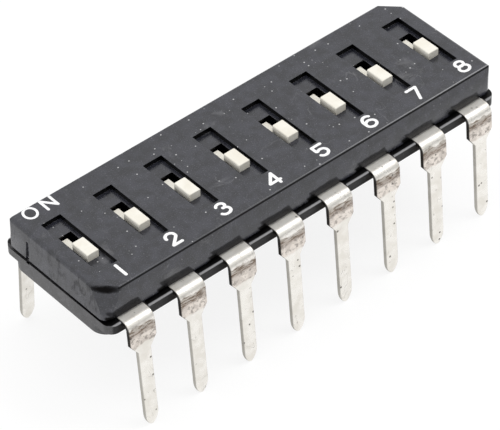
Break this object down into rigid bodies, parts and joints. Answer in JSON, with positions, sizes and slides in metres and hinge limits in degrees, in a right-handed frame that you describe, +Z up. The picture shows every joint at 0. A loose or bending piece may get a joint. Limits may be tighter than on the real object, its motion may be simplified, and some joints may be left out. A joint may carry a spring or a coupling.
{
  "type": "slide dip switch",
  "caption": "Low-profile slide DIP switch: charcoal two-part housing, ivory slide actuators in finger recesses, two rows of formed through-hole terminals.",
  "frame": {"origin": "middle of the footprint, at the height of the terminal tips", "axes": "+X along the bank from position 1 to position 8, +Y towards the ON side, +Z up out of the top face"},
  "size_m": [0.0204, 0.008, 0.007],
  "materials": {
    "cover_moulding": "fine-grained charcoal moulding",
    "base_moulding": "fine-grained dark moulding",
    "actuator_moulding": "smooth ivory moulding",
    "spring_contact": "gold-flashed spring bronze",
    "terminal_plate": "bright tin plate on copper alloy, stained at the bends"
  },
  "bodies": {
    "housing": {"base": "base_moulding", "cover": "cover_moulding", "terminal_1": "terminal_plate", "terminal_2": "terminal_plate", "terminal_3": "terminal_plate", "terminal_4": "terminal_plate", "terminal_5": "terminal_plate", "terminal_6": "terminal_plate", "terminal_7": "terminal_plate", "terminal_8": "terminal_plate", "terminal_9": "terminal_plate", "terminal_10": "terminal_plate", "terminal_11": "terminal_plate", "terminal_12": "terminal_plate", "terminal_13": "terminal_plate", "terminal_14": "terminal_plate", "terminal_15": "terminal_plate", "terminal_16": "terminal_plate"},
    "actuator_1": {"slider_1": "actuator_moulding", "wiper_1": "spring_contact"},
    "actuator_2": {"slider_2": "actuator_moulding", "wiper_2": "spring_contact"},
    "actuator_3": {"slider_3": "actuator_moulding", "wiper_3": "spring_contact"},
    "actuator_4": {"slider_4": "actuator_moulding", "wiper_4": "spring_contact"},
    "actuator_5": {"slider_5": "actuator_moulding", "wiper_5": "spring_contact"},
    "actuator_6": {"slider_6": "actuator_moulding", "wiper_6": "spring_contact"},
    "actuator_7": {"slider_7": "actuator_moulding", "wiper_7": "spring_contact"},
    "actuator_8": {"slider_8": "actuator_moulding", "wiper_8": "spring_contact"}
  },
  "joints": [
    {"name": "slide_1", "type": "slide", "parent": "housing", "child": "actuator_1", "axis": [0, 1, 0], "range_m": [0, 0.0008]},
    {"name": "slide_2", "type": "slide", "parent": "housing", "child": "actuator_2", "axis": [0, 1, 0], "range_m": [0, 0.0008]},
    {"name": "slide_3", "type": "slide", "parent": "housing", "child": "actuator_3", "axis": [0, 1, 0], "range_m": [0, 0.0008]},
    {"name": "slide_4", "type": "slide", "parent": "housing", "child": "actuator_4", "axis": [0, 1, 0], "range_m": [0, 0.0008]},
    {"name": "slide_5", "type": "slide", "parent": "housing", "child": "actuator_5", "axis": [0, 1, 0], "range_m": [0, 0.0008]},
    {"name": "slide_6", "type": "slide", "parent": "housing", "child": "actuator_6", "axis": [0, 1, 0], "range_m": [0, 0.0008]},
    {"name": "slide_7", "type": "slide", "parent": "housing", "child": "actuator_7", "axis": [0, 1, 0], "range_m": [0, 0.0008]},
    {"name": "slide_8", "type": "slide", "parent": "housing", "child": "actuator_8", "axis": [0, 1, 0], "range_m": [0, 0.0008]}
  ]
}
